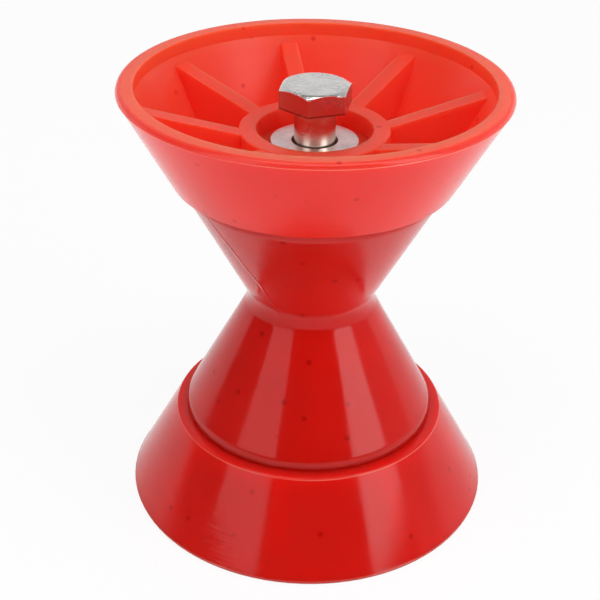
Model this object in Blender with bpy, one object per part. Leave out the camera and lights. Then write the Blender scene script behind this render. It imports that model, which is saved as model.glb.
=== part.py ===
"""Boat trailer bow roller: a waisted spool between two ribbed end bells on one bolt.

The roller stands upright on the open rim of its lower bell. The axis is Z, the
origin is the centre of the lower rim, and lengths are in metres.
On a trailer the two ears of the winch post bracket go between the spool and the
bells, so each bell can slide along the bolt by the thickness of one ear.
"""
import math

import bmesh
import bpy
from mathutils import Matrix, Vector

# Driving dimensions
SPOOL_LENGTH = 0.0786
SPOOL_END_RADIUS = 0.0395
SPOOL_WAIST_RADIUS = 0.01865
SPOOL_EDGE_FILLET = 0.002
SPOOL_WAIST_FILLET = 0.004
SPOOL_WALL = 0.0050
SPOOL_POCKET_DEPTH = 0.022
SPOOL_HUB_RADIUS = 0.013
SPOOL_RIB_THICKNESS = 0.004
SPOOL_RIB_RECESS = 0.001

BELL_DEPTH = 0.0279
BELL_RIM_RADIUS = 0.056
BELL_SMALL_RADIUS = 0.0415
BELL_RIM_FILLET = 0.0015
BELL_LIP_WIDTH = 0.005
BELL_LIP_DEPTH = 0.004
BELL_WALL = 0.0036
BELL_FLOOR = 0.004
BELL_HUB_RADIUS = 0.0218
BELL_HUB_HEIGHT = 0.0140
BELL_COUNTERBORE_RADIUS = 0.01675
BELL_COUNTERBORE_DEPTH = 0.006
BELL_RIB_THICKNESS = 0.005
BELL_RIB_DROP_AT_WALL = 0.0061
BELL_RIB_STEP_AT_HUB = 0.00015

RIB_COUNT = 8
RIB_PHASE = math.radians(10.3)
RIB_DRAFT = math.radians(1.0)

BOLT_RADIUS = 0.006
BOLT_TIP_CHAMFER = 0.001
HEX_ACROSS_FLATS = 0.019
HEX_PHASE = math.radians(-100.8)
HEX_CHAMFER = math.radians(28.0)
HEX_FACE_SHARE = 0.95
HEAD_HEIGHT = 0.0063

WASHER_OUTER_RADIUS = 0.0128
WASHER_INNER_RADIUS = 0.00665
WASHER_THICKNESS = 0.002
WASHER_EDGE_CHAMFER = 0.0002

NUT_HEIGHT = 0.0102
NUT_HEX_HEIGHT = 0.0070
NUT_COLLAR_RADIUS = 0.0088
NUT_RING_RADIUS = 0.0080
NUT_RING_THICKNESS = 0.0018
NUT_CRIMP_WIDTH = 0.0008

# The thickness of each of the two bracket ears that the bolt leaves room for
EAR_THICKNESS = 0.005

# Clearances
TOUCH_GAP = 0.0003
BORE_CLEARANCE = 0.0005

# Facets round the axis, and along the small arcs
BELL_ROUND = 72
SPOOL_ROUND = 60
SMALL_ROUND = 36
ARC_STEPS = 4
WAIST_STEPS = 6
SMOOTH_ANGLE = math.radians(28)
MERGE_DISTANCE = 1e-6

# Heights that follow from the sizes above
SPOOL_BASE = BELL_DEPTH + TOUCH_GAP
SPOOL_CENTRE = SPOOL_BASE + SPOOL_LENGTH / 2
WASHER_OFFSET = (
    SPOOL_LENGTH / 2 + TOUCH_GAP + BELL_HUB_HEIGHT - BELL_COUNTERBORE_DEPTH + TOUCH_GAP
)
UPPER_WASHER_TOP = SPOOL_CENTRE + WASHER_OFFSET + WASHER_THICKNESS
LOWER_WASHER_BOTTOM = SPOOL_CENTRE - WASHER_OFFSET - WASHER_THICKNESS
NUT_SEAT = LOWER_WASHER_BOTTOM - EAR_THICKNESS - TOUCH_GAP

# The bolt stands on its tip, so its shank is as long as its head's seat is high,
# and the head stands proud by both ears and the play
HEAD_SEAT = UPPER_WASHER_TOP + 2 * (EAR_THICKNESS + TOUCH_GAP)
BORE_RADIUS = BOLT_RADIUS + BORE_CLEARANCE

# Slopes of the two cones, as radius gained per length, and the sharp corner of the hexagons
BELL_CONE_TOP = BELL_DEPTH - BELL_RIM_FILLET
BELL_FLARE = (BELL_RIM_RADIUS - BELL_SMALL_RADIUS) / BELL_CONE_TOP
SPOOL_FLARE = (SPOOL_END_RADIUS - SPOOL_WAIST_RADIUS) / (SPOOL_LENGTH / 2)
HEX_CORNER_RADIUS = HEX_ACROSS_FLATS / 2 / math.cos(math.pi / 6)


def clear_scene():
    for scene_object in list(bpy.data.objects):
        bpy.data.objects.remove(scene_object, do_unlink=True)


def material(name, colour, roughness, metallic=0.0):
    """A plain Principled BSDF finish."""
    finish = bpy.data.materials.new(name)
    finish.use_nodes = True
    shader = finish.node_tree.nodes["Principled BSDF"]
    shader.inputs["Base Color"].default_value = (*colour, 1.0)
    shader.inputs["Roughness"].default_value = roughness
    shader.inputs["Metallic"].default_value = metallic
    return finish


def new_object(name, mesh, finish=None):
    piece = bpy.data.objects.new(name, mesh)
    bpy.context.scene.collection.objects.link(piece)
    if finish:
        mesh.materials.append(finish)
    return piece


def guide(name, mesh):
    """A shape that only joins or cuts another one."""
    tool = new_object(name, mesh)
    tool.hide_render = True
    tool.display_type = "WIRE"
    return tool


def smooth(piece):
    piece.data.shade_smooth()
    piece.data.set_sharp_from_angle(angle=SMOOTH_ANGLE)


def arc(centre, radius, start, end, steps):
    """Points of an arc in the radius and height plane, both ends included."""
    points = []
    for step in range(steps + 1):
        angle = start + (end - start) * step / steps
        points.append((centre[0] + radius * math.cos(angle), centre[1] + radius * math.sin(angle)))
    return points


def turned(name, outline, segments):
    """A mesh made by spinning a closed outline of (radius, height) points about Z."""
    mesh = bpy.data.meshes.new(name)
    form = bmesh.new()
    corners = [form.verts.new((radius, 0.0, height)) for radius, height in outline]
    edges = [form.edges.new((a, b)) for a, b in zip(corners, corners[1:] + corners[:1])]
    bmesh.ops.spin(
        form,
        geom=corners + edges,
        cent=(0, 0, 0),
        axis=(0, 0, 1),
        angle=2 * math.pi,
        steps=segments,
        use_merge=True,
    )
    bmesh.ops.remove_doubles(form, verts=form.verts, dist=MERGE_DISTANCE)
    bmesh.ops.dissolve_degenerate(form, edges=form.edges, dist=MERGE_DISTANCE / 10)
    bmesh.ops.recalc_face_normals(form, faces=form.faces)
    form.to_mesh(mesh)
    form.free()
    return mesh


def hex_bar(name, bottom, top):
    """A length of hexagonal bar with one corner at the phase angle."""
    mesh = bpy.data.meshes.new(name)
    form = bmesh.new()
    bmesh.ops.create_cone(
        form,
        cap_ends=True,
        segments=6,
        radius1=HEX_CORNER_RADIUS,
        radius2=HEX_CORNER_RADIUS,
        depth=top - bottom,
        matrix=Matrix.Translation((0, 0, (top + bottom) / 2)),
    )
    first = min(form.verts, key=lambda corner: abs(math.atan2(corner.co.y, corner.co.x)))
    turn = HEX_PHASE - math.atan2(first.co.y, first.co.x)
    bmesh.ops.rotate(form, verts=form.verts, cent=(0, 0, 0), matrix=Matrix.Rotation(turn, 3, "Z"))
    bmesh.ops.recalc_face_normals(form, faces=form.faces)
    form.to_mesh(mesh)
    form.free()
    return mesh


def rib_set(name, outline, thickness, thickest):
    """Radial ribs cut to one (radius, height) outline, each wider towards the height "thickest"."""
    mesh = bpy.data.meshes.new(name)
    form = bmesh.new()
    widest_level = max(abs(height - thickest) for _, height in outline)
    for number in range(RIB_COUNT):
        turn = Matrix.Rotation(RIB_PHASE + 2 * math.pi * number / RIB_COUNT, 4, "Z")
        sides = []
        for side in (-1, 1):
            ring = []
            for radius, height in outline:
                spread = (widest_level - abs(height - thickest)) * math.tan(RIB_DRAFT)
                place = turn @ Vector((radius, side * (thickness / 2 + spread), height))
                ring.append(form.verts.new(place))
            sides.append(ring)
        form.faces.new(sides[0])
        form.faces.new(reversed(sides[1]))
        for index in range(len(outline)):
            after = (index + 1) % len(outline)
            form.faces.new((sides[0][index], sides[1][index], sides[1][after], sides[0][after]))
    bmesh.ops.recalc_face_normals(form, faces=form.faces)
    form.to_mesh(mesh)
    form.free()
    return mesh


def boolean(piece, tool, operation):
    cut = piece.modifiers.new(tool.name, "BOOLEAN")
    cut.operation = operation
    cut.object = tool
    cut.solver = "EXACT"


def bell_cone_radius(height):
    """Outside radius of the bell's cone at a height above its small end."""
    return BELL_SMALL_RADIUS + BELL_FLARE * height


def bell_outline():
    """Half section of a bell: small end at height 0, open rim on top."""
    rim_inner = BELL_RIM_RADIUS - BELL_LIP_WIDTH
    lip_foot = BELL_DEPTH - BELL_LIP_DEPTH
    wall_at_lip = bell_cone_radius(lip_foot) - BELL_WALL
    wall_at_floor = bell_cone_radius(BELL_FLOOR) - BELL_WALL
    counterbore_floor = BELL_HUB_HEIGHT - BELL_COUNTERBORE_DEPTH
    rim_centre = (BELL_RIM_RADIUS - BELL_RIM_FILLET, BELL_CONE_TOP)
    return [
        (BORE_RADIUS, 0.0),
        (BELL_SMALL_RADIUS, 0.0),
        *arc(rim_centre, BELL_RIM_FILLET, 0.0, math.pi / 2, ARC_STEPS),
        (rim_inner, BELL_DEPTH),
        (min(rim_inner, wall_at_lip), lip_foot),
        (wall_at_floor, BELL_FLOOR),
        (BELL_HUB_RADIUS, BELL_FLOOR),
        (BELL_HUB_RADIUS, BELL_HUB_HEIGHT),
        (BELL_COUNTERBORE_RADIUS, BELL_HUB_HEIGHT),
        (BELL_COUNTERBORE_RADIUS, counterbore_floor),
        (BORE_RADIUS, counterbore_floor),
    ]


def bell_rib_outline():
    """A rib from inside the hub wall to inside the cone wall, its top rising to the rim."""
    hub_middle = (BELL_HUB_RADIUS + BELL_COUNTERBORE_RADIUS) / 2
    foot = BELL_FLOOR / 2
    top_at_hub = BELL_HUB_HEIGHT - BELL_RIB_STEP_AT_HUB
    top_at_wall = BELL_DEPTH - BELL_RIB_DROP_AT_WALL
    wall_inside = bell_cone_radius(top_at_wall) - BELL_WALL
    slope = (top_at_wall - top_at_hub) / (wall_inside - BELL_HUB_RADIUS)
    sink = BELL_WALL / 2
    return [
        (hub_middle, foot),
        (bell_cone_radius(foot) - sink, foot),
        (wall_inside + sink, top_at_wall + slope * sink),
        (hub_middle, top_at_hub - slope * (BELL_HUB_RADIUS - hub_middle)),
    ]


def make_bell(name, finish, upper):
    """A ribbed cup, its small end against the spool and its rim facing out."""
    bell = new_object(name, turned(name, bell_outline(), BELL_ROUND), finish)
    ribs = guide(
        name + "_ribs",
        rib_set(name + "_ribs", bell_rib_outline(), BELL_RIB_THICKNESS, BELL_FLOOR / 2),
    )
    ribs.parent = bell
    boolean(bell, ribs, "UNION")
    if upper:
        bell.location.z = SPOOL_BASE + SPOOL_LENGTH + TOUCH_GAP
    else:
        bell.location.z = BELL_DEPTH
        bell.rotation_euler.x = math.pi
    smooth(bell)
    return bell


def spool_outline():
    """Half section of the spool about its middle: two flanks that meet at the waist."""
    half = SPOOL_LENGTH / 2
    flare = math.atan(SPOOL_FLARE)
    corner = math.pi / 2 - flare
    edge_reach = SPOOL_EDGE_FILLET / math.tan(corner / 2)
    edge_centre = (SPOOL_END_RADIUS - edge_reach, half - SPOOL_EDGE_FILLET)
    waist_centre = (SPOOL_WAIST_RADIUS + SPOOL_WAIST_FILLET / math.cos(flare), 0.0)
    pocket_floor = half - SPOOL_POCKET_DEPTH
    wall_at_end = SPOOL_END_RADIUS - SPOOL_WALL
    wall_at_floor = wall_at_end - SPOOL_FLARE * SPOOL_POCKET_DEPTH
    upper_outside = arc(edge_centre, SPOOL_EDGE_FILLET, math.pi / 2, -flare, ARC_STEPS)
    waist = arc(
        waist_centre, SPOOL_WAIST_FILLET, math.pi - flare, math.pi + flare, WAIST_STEPS
    )
    upper_inside = [
        (BORE_RADIUS, half),
        (SPOOL_HUB_RADIUS, half),
        (SPOOL_HUB_RADIUS, pocket_floor),
        (wall_at_floor, pocket_floor),
        (wall_at_end, half),
    ]
    lower_outside = [(radius, -height) for radius, height in reversed(upper_outside)]
    lower_inside = [(radius, -height) for radius, height in reversed(upper_inside)]
    return upper_inside + upper_outside + waist + lower_outside + lower_inside


def spool_rib_outline(side):
    """A rib in one end pocket of the spool, sunk into hub, wall and pocket floor."""
    half = SPOOL_LENGTH / 2
    hub_middle = (SPOOL_HUB_RADIUS + BORE_RADIUS) / 2
    foot = half - SPOOL_POCKET_DEPTH - SPOOL_WALL / 2
    top = half - SPOOL_RIB_RECESS
    sink = SPOOL_WALL / 2
    outside = [
        (SPOOL_END_RADIUS - SPOOL_FLARE * (half - foot) - sink, foot),
        (SPOOL_END_RADIUS - SPOOL_FLARE * SPOOL_RIB_RECESS - sink, top),
    ]
    outline = [(hub_middle, foot), *outside, (hub_middle, top)]
    return [(radius, side * height) for radius, height in outline]


def make_spool(finish):
    mesh = turned("spool_roller", spool_outline(), SPOOL_ROUND)
    spool = new_object("spool_roller", mesh, finish)
    for label, side in (("upper", 1), ("lower", -1)):
        name = f"spool_{label}_ribs"
        outline = spool_rib_outline(side)
        ribs = guide(name, rib_set(name, outline, SPOOL_RIB_THICKNESS, outline[0][1]))
        ribs.parent = spool
        boolean(spool, ribs, "UNION")
    spool.location.z = SPOOL_CENTRE
    smooth(spool)
    return spool


def hex_chamfer():
    """The chamfer cone of a hexagon: its two radii and how far it drops between them."""
    clear_of_corner = HEX_CORNER_RADIUS + TOUCH_GAP
    face_radius = HEX_ACROSS_FLATS / 2 * HEX_FACE_SHARE
    drop = (clear_of_corner - face_radius) * math.tan(HEX_CHAMFER)
    return face_radius, clear_of_corner, drop


def make_bolt(finish):
    """A hexagon head bolt: hexagonal bar stock turned down to one outline."""
    top = HEAD_SEAT + HEAD_HEIGHT
    face_radius, clear_of_corner, chamfer_drop = hex_chamfer()
    outline = [
        (0.0, 0.0),
        (BOLT_RADIUS - BOLT_TIP_CHAMFER, 0.0),
        (BOLT_RADIUS, BOLT_TIP_CHAMFER),
        (BOLT_RADIUS, HEAD_SEAT),
        (clear_of_corner, HEAD_SEAT),
        (clear_of_corner, top - chamfer_drop),
        (face_radius, top),
        (0.0, top),
    ]
    bolt = new_object("hex_bolt", turned("hex_bolt", outline, SMALL_ROUND), finish)
    bar = guide("bolt_bar_stock", hex_bar("bolt_bar_stock", -TOUCH_GAP, top + TOUCH_GAP))
    boolean(bolt, bar, "INTERSECT")
    smooth(bolt)
    return bolt


def washer_outline():
    chamfer = WASHER_EDGE_CHAMFER
    return [
        (WASHER_INNER_RADIUS, 0.0),
        (WASHER_OUTER_RADIUS, 0.0),
        (WASHER_OUTER_RADIUS, WASHER_THICKNESS - chamfer),
        (WASHER_OUTER_RADIUS - chamfer, WASHER_THICKNESS),
        (WASHER_INNER_RADIUS, WASHER_THICKNESS),
    ]


def make_washer(name, finish, upper):
    """A plain washer lying in the counterbore of its bell."""
    washer = new_object(name, turned(name, washer_outline(), SMALL_ROUND), finish)
    if upper:
        washer.location.z = SPOOL_CENTRE + WASHER_OFFSET
    else:
        washer.location.z = SPOOL_CENTRE - WASHER_OFFSET
        washer.rotation_euler.x = math.pi
    smooth(washer)
    return washer


def ring_pocket():
    """Lowest and highest level of the room for the locking ring, below the nut's seat."""
    top = -NUT_HEX_HEIGHT
    return top - NUT_RING_THICKNESS - 2 * TOUCH_GAP, top


def nut_outline():
    """Half section of the lock nut with its seat at height 0 and its collar below."""
    face_radius, clear_of_corner, chamfer_drop = hex_chamfer()
    bore = BOLT_RADIUS + TOUCH_GAP
    pocket_bottom, pocket_top = ring_pocket()
    pocket_radius = NUT_RING_RADIUS + TOUCH_GAP
    crimp_radius = pocket_radius - NUT_CRIMP_WIDTH
    return [
        (bore, 0.0),
        (face_radius, 0.0),
        (clear_of_corner, -chamfer_drop),
        (clear_of_corner, -NUT_HEX_HEIGHT + chamfer_drop),
        (NUT_COLLAR_RADIUS, -NUT_HEX_HEIGHT),
        (NUT_COLLAR_RADIUS, pocket_bottom),
        (crimp_radius, -NUT_HEIGHT),
        (crimp_radius, pocket_bottom),
        (pocket_radius, pocket_bottom),
        (pocket_radius, pocket_top),
        (bore, pocket_top),
    ]


def make_nut(finish):
    nut = new_object("lock_nut", turned("lock_nut", nut_outline(), SMALL_ROUND), finish)
    bar = guide("nut_bar_stock", hex_bar("nut_bar_stock", -NUT_HEIGHT - TOUCH_GAP, TOUCH_GAP))
    bar.parent = nut
    boolean(nut, bar, "INTERSECT")
    nut.location.z = NUT_SEAT
    smooth(nut)
    return nut


def make_locking_ring(finish):
    """The nylon ring that grips the thread inside the nut's collar."""
    _, pocket_top = ring_pocket()
    top = pocket_top - TOUCH_GAP
    inner = BOLT_RADIUS + TOUCH_GAP
    outline = [
        (inner, top - NUT_RING_THICKNESS),
        (NUT_RING_RADIUS, top - NUT_RING_THICKNESS),
        (NUT_RING_RADIUS, top),
        (inner, top),
    ]
    mesh = turned("nut_locking_ring", outline, SMALL_ROUND)
    ring = new_object("nut_locking_ring", mesh, finish)
    ring.location.z = NUT_SEAT
    smooth(ring)
    return ring


def main():
    clear_scene()
    bell_red = material("bell_red", (0.76, 0.045, 0.03), 0.22)
    spool_red = material("spool_red", (0.62, 0.02, 0.018), 0.2)
    bolt_steel = material("bolt_steel", (0.56, 0.54, 0.51), 0.3, 1.0)
    washer_steel = material("washer_steel", (0.62, 0.6, 0.58), 0.38, 1.0)
    nylon = material("white_nylon", (0.8, 0.8, 0.77), 0.45)

    make_spool(spool_red)
    make_bell("upper_bell", bell_red, upper=True)
    make_bell("lower_bell", bell_red, upper=False)
    make_bolt(bolt_steel)
    make_washer("upper_washer", washer_steel, upper=True)
    make_washer("lower_washer", washer_steel, upper=False)
    make_nut(bolt_steel)
    make_locking_ring(nylon)


main()
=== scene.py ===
# %% [markdown]
# # A boat trailer roller
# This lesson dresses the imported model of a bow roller: a waisted plastic spool
# between two flared end bells, on one long hexagon head bolt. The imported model
# gives every size and place, so each finished piece stands exactly where its
# plain CAD solid was, and moves with the same body.

# %% Load the frame
import math

import bmesh
import bpy
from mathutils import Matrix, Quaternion, Vector


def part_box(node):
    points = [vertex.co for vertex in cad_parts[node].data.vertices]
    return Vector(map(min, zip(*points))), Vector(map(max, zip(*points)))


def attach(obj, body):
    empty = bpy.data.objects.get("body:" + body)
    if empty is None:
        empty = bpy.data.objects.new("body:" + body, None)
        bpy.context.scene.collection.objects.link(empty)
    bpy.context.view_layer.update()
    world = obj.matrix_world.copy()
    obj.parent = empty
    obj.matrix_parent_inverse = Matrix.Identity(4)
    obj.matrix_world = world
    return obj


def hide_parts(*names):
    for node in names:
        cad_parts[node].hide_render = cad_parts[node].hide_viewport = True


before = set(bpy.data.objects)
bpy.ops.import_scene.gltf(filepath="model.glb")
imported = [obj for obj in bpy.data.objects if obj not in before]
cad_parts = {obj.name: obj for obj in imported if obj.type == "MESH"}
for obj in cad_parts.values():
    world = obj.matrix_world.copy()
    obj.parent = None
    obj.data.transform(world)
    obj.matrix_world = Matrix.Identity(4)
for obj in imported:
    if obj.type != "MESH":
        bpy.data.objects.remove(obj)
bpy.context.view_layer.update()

MM = 0.001

# %% [markdown]
# ## The camera
# The roller was photographed with a long lens from a little above its rim. The
# place could be guessed by eye, but here it was solved from the outlines of both
# rims and of the waist, so distance, height, roll and lens are as found.

# %% Camera
CAMERA_PLACE = Vector((0.0, -0.34617, 0.26828))
CAMERA_DIP = math.radians(28.466)
CAMERA_ROLL = math.radians(1.354)
CAMERA_LENS = 78.76
CAMERA_SENSOR = 36.0
CAMERA_NEAR = 0.01
CAMERA_SHIFT = (-0.02, -0.08)

camera_data = bpy.data.cameras.new("studio_camera")
camera_data.lens = CAMERA_LENS
camera_data.sensor_width = CAMERA_SENSOR
camera_data.shift_x, camera_data.shift_y = CAMERA_SHIFT
camera_data.clip_start = CAMERA_NEAR
camera = bpy.data.objects.new("studio_camera", camera_data)
bpy.context.scene.collection.objects.link(camera)
aim = Vector((0.0, math.cos(CAMERA_DIP), -math.sin(CAMERA_DIP)))
camera.rotation_mode = "QUATERNION"
camera.rotation_quaternion = aim.to_track_quat("-Z", "Y") @ Quaternion((0, 0, 1), CAMERA_ROLL)
camera.location = CAMERA_PLACE
bpy.context.scene.camera = camera
bpy.context.scene.view_settings.view_transform = "Standard"
print("camera at", tuple(round(value, 3) for value in camera.location))

# %% [markdown]
# ## Small tools for node trees
# Every finish below is a tree of nodes. Each tree could be wired node by node, but
# a few short helpers keep it easy to read: one adds a node and fills its sockets,
# one starts a material, and the others do a step of arithmetic.

# %% Helpers for nodes
def add_node(tree, kind, inputs=None, **settings):
    """Adds a node, sets its options, and fills or links its named inputs."""
    node = tree.nodes.new(kind)
    for option, value in settings.items():
        setattr(node, option, value)
    for socket, value in (inputs or {}).items():
        if isinstance(value, bpy.types.NodeSocket):
            tree.links.new(value, node.inputs[socket])
        else:
            node.inputs[socket].default_value = value
    return node


def new_material(name):
    """A material with its tree, its shader and the object's own coordinates."""
    finish = bpy.data.materials.new(name)
    finish.use_nodes = True
    tree = finish.node_tree
    place = tree.nodes.new("ShaderNodeTexCoord").outputs["Object"]
    return finish, tree, tree.nodes["Principled BSDF"], place


def scale_value(tree, value, low, high, to_low, to_high):
    """Maps a value from one range to another, clamped."""
    node = add_node(tree, "ShaderNodeMapRange", {
        "Value": value, "From Min": low, "From Max": high, "To Min": to_low, "To Max": to_high,
    })
    return node.outputs["Result"]


def calculate(tree, operation, first, second=0.0):
    """One step of arithmetic on sockets or numbers."""
    node = add_node(tree, "ShaderNodeMath", {0: first, 1: second}, operation=operation)
    return node.outputs[0]


print("node helpers ready")

# %% [markdown]
# Most finishes are two colours mixed by a cloudy noise. All the patterns here are
# read in metres, from the point's own place, so they stay on the piece when it
# moves. The distance from the axis tells the inside of a round piece from its skin.

# %% Helpers for colour and pattern
def blend(tree, share, first, second):
    """Mixes two colours, each a socket or three numbers, by a share from 0 to 1."""
    first, second = (
        colour if isinstance(colour, bpy.types.NodeSocket) else (*colour, 1.0)
        for colour in (first, second)
    )
    node = add_node(tree, "ShaderNodeMix", {0: share, 6: first, 7: second}, data_type="RGBA")
    return node.outputs[2]


def noise(tree, place, scale, detail=2.0, roughness=0.5, distortion=0.0):
    """A cloudy pattern from 0 to 1, with a scale in clouds to the metre."""
    node = add_node(tree, "ShaderNodeTexNoise", {
        "Vector": place, "Scale": scale, "Detail": detail,
        "Roughness": roughness, "Distortion": distortion,
    })
    return node.outputs["Fac"]


def axis_distance(tree, place):
    """How far a point lies from the roller's axis."""
    flat = add_node(
        tree, "ShaderNodeVectorMath", {0: place, 1: (1, 1, 0)}, operation="MULTIPLY"
    )
    length = add_node(
        tree, "ShaderNodeVectorMath", {0: flat.outputs[0]}, operation="LENGTH"
    )
    return length.outputs["Value"]


print("pattern helpers ready")

# %% [markdown]
# ## The light tent
# The product stood on a white table in a white tent, with two tall soft boxes
# beside the camera and little light straight in front. Such a room could be built
# from many lamps. Here it is written as a table of patches of sky instead: each
# patch has a range of azimuth, counted from the camera's side towards +X, a range
# of elevation, and a radiance. The camera itself sees plain white all round, and
# what glints in the metal sees the same white behind the roller.

# %% World
SKY = {
    "zenith": (-180, 180, 75, 90, 1.7),
    "ceiling front": (-90, 90, 58, 75, 3.6),
    "back high": (105, 255, 38, 58, 0.45),
    "back low": (105, 255, 14, 38, 0.66),
    "back horizon": (105, 255, -5, 14, 0.9),
    "left side": (-105, -62, -5, 58, 0.1),
    "right side": (71, 105, -5, 58, 0.45),
    "front high": (-62, 71, 42, 58, 0.4),
    "front low": (-62, 71, -5, 42, 0.0),
}
SKY_BLUR = 2.0

world = bpy.data.worlds.new("light_tent")
world.use_nodes = True
bpy.context.scene.world = world
tree = world.node_tree
tree.nodes.clear()
direction = tree.nodes.new("ShaderNodeTexCoord").outputs["Generated"]
axes = add_node(tree, "ShaderNodeSeparateXYZ", {0: direction})
toward = calculate(tree, "MULTIPLY", axes.outputs["Y"], -1.0)
azimuth = calculate(tree, "ARCTAN2", axes.outputs["X"], toward)
azimuth = calculate(tree, "MULTIPLY", azimuth, 180 / math.pi)
elevation = calculate(tree, "ARCSINE", axes.outputs["Z"])
elevation = calculate(tree, "MULTIPLY", elevation, 180 / math.pi)


def window(value, low, high):
    """1 between low and high and 0 outside, with a soft edge."""
    rise = scale_value(tree, value, low - SKY_BLUR, low + SKY_BLUR, 0.0, 1.0)
    fall = scale_value(tree, value, high - SKY_BLUR, high + SKY_BLUR, 1.0, 0.0)
    return calculate(tree, "MULTIPLY", rise, fall)


def sector(left, right):
    """A window in azimuth, which may run past 180 degrees at the back."""
    across = window(azimuth, left, right)
    if right > 180:
        across = calculate(tree, "ADD", across, window(azimuth, left - 360, right - 360))
    return across


total = 0.0
for left, right, low, high, radiance in SKY.values():
    patch = calculate(tree, "MULTIPLY", sector(left, right), window(elevation, low, high))
    patch = calculate(tree, "MULTIPLY", patch, radiance)
    total = calculate(tree, "ADD", patch, total)
left, right, low, high, radiance = SKY["back horizon"]
behind = calculate(tree, "MULTIPLY", sector(left, right), window(elevation, low, high))
ray = tree.nodes.new("ShaderNodeLightPath").outputs
white = calculate(tree, "MULTIPLY", ray["Is Glossy Ray"], behind)
white = calculate(tree, "MAXIMUM", white, ray["Is Camera Ray"])
white = calculate(tree, "MAXIMUM", white, ray["Is Transmission Ray"])
total = calculate(tree, "MAXIMUM", total, white)
background = add_node(tree, "ShaderNodeBackground", {"Strength": total})
background.inputs["Color"].default_value = (1.0, 1.0, 1.0, 1.0)
output = tree.nodes.new("ShaderNodeOutputWorld")
tree.links.new(background.outputs[0], output.inputs[0])
print("patches of sky", len(SKY))

# %% [markdown]
# The two soft boxes are area lights, flat sheets that shine evenly. They stand
# upright, half a metre away, and their place and width come from the two pale
# stripes that they leave on the lower cones.

# %% Soft boxes
BOX_AWAY = 0.5
BOX_LOW, BOX_HIGH = 0.09, 0.70
BOX_HEIGHT = BOX_HIGH - BOX_LOW
SOFT_BOXES = {  # azimuth in degrees, width in metres, radiance
    "left_soft_box": (-44.0, 0.306, 1.65),
    "right_soft_box": (54.2, 0.272, 3.5),
}


def soft_box(name, azimuth, width, radiance):
    """An upright sheet of light that faces the roller's axis."""
    data = bpy.data.lights.new(name, "AREA")
    data.shape = "RECTANGLE"
    data.size, data.size_y = width, BOX_HEIGHT
    data.energy = radiance * math.pi * width * BOX_HEIGHT
    lamp = bpy.data.objects.new(name, data)
    bpy.context.scene.collection.objects.link(lamp)
    turn = math.radians(azimuth)
    away = Vector((math.sin(turn), -math.cos(turn), 0.0))
    lamp.location = away * BOX_AWAY + Vector((0, 0, (BOX_LOW + BOX_HIGH) / 2))
    lamp.rotation_euler = (-away).to_track_quat("-Z", "Y").to_euler()
    lamp.visible_camera = False


for name, settings in SOFT_BOXES.items():
    soft_box(name, *settings)
print("soft boxes", list(SOFT_BOXES), "at", BOX_AWAY, "m")

# %% [markdown]
# The table is one big flat sheet. Seen by the camera, or mirrored in the steel, it
# is nearly pure white and keeps only a soft part of the shadow, while the roller
# still gets its real, shaded bounce from it. It lies a hair below the rim of the
# lower bell, so that no two faces share a plane.

# %% Table
TABLE_SIZE = 20.0
TABLE_DROP = 0.05
TABLE_GLOW = 0.90
bpy.ops.object.select_all(action="DESELECT")
bpy.ops.mesh.primitive_plane_add(size=TABLE_SIZE, location=(0, 0, -TABLE_DROP * MM))
table = bpy.context.object
table.name = "white_table"
table_finish, tree, shader, _ = new_material("table_white")
shader.inputs["Base Color"].default_value = (0.9, 0.9, 0.9, 1.0)
shader.inputs["Roughness"].default_value = 0.6
shine = add_node(tree, "ShaderNodeEmission", {"Strength": 1.0})
ray = tree.nodes.new("ShaderNodeLightPath").outputs
seen = calculate(tree, "MAXIMUM", ray["Is Camera Ray"], ray["Is Glossy Ray"])
seen = calculate(tree, "MAXIMUM", seen, ray["Is Transmission Ray"])
glow = calculate(tree, "MULTIPLY", seen, TABLE_GLOW)
mix = add_node(tree, "ShaderNodeMixShader", {
    0: glow, 1: shader.outputs[0], 2: shine.outputs[0],
})
tree.links.new(mix.outputs[0], tree.nodes["Material Output"].inputs["Surface"])
table.data.materials.append(table_finish)
print("table", tuple(table.dimensions))

# %% [markdown]
# ## Turning a piece
# Almost everything here was made round: moulded, turned or punched. Such a piece
# could start from a cylinder, but drawing half its section and spinning that about
# the axis gives every step and fillet at once. A section starts as one point,
# which is extruded from corner to corner, in millimetres.

# %% Helpers for drawing a section
SELECT_MODES = {"verts": "VERT", "edges": "EDGE", "faces": "FACE"}


def deselect_all():
    """Leaves no object selected."""
    bpy.ops.object.select_all(action="DESELECT")


def pick(piece, test, kind="verts"):
    """In edit mode, selects only the points, edges or faces that pass a test."""
    bpy.ops.mesh.select_all(action="DESELECT")
    bpy.ops.mesh.select_mode(type=SELECT_MODES[kind])
    mesh = bmesh.from_edit_mesh(piece.data)
    count = 0
    for part in getattr(mesh, kind):
        if test(part):
            part.select_set(True)
            count += 1
    mesh.select_flush(True)
    bmesh.update_edit_mesh(piece.data)
    return count


def draw_section(name, corners, closed=True):
    """Draws a half section of (radius, height) corners and stays in edit mode."""
    deselect_all()
    radius, height = corners[0]
    bpy.ops.mesh.primitive_plane_add(size=MM, location=(radius * MM, 0, height * MM))
    piece = bpy.context.object
    piece.name = name
    piece.data.name = name
    bpy.ops.object.transform_apply(location=True, rotation=False, scale=False)
    bpy.ops.object.mode_set(mode="EDIT")
    bpy.ops.mesh.select_mode(type="VERT")
    bpy.ops.mesh.select_all(action="SELECT")
    bpy.ops.mesh.merge(type="CENTER")
    for (r0, z0), (r1, z1) in zip(corners, corners[1:]):
        step = ((r1 - r0) * MM, 0, (z1 - z0) * MM)
        bpy.ops.mesh.extrude_vertices_move(TRANSFORM_OT_translate={"value": step})
    if closed:
        pick(piece, lambda point: len(point.link_edges) == 1)
        bpy.ops.mesh.edge_face_add()
    return piece


print("a section is drawn in steps of millimetres")

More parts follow.
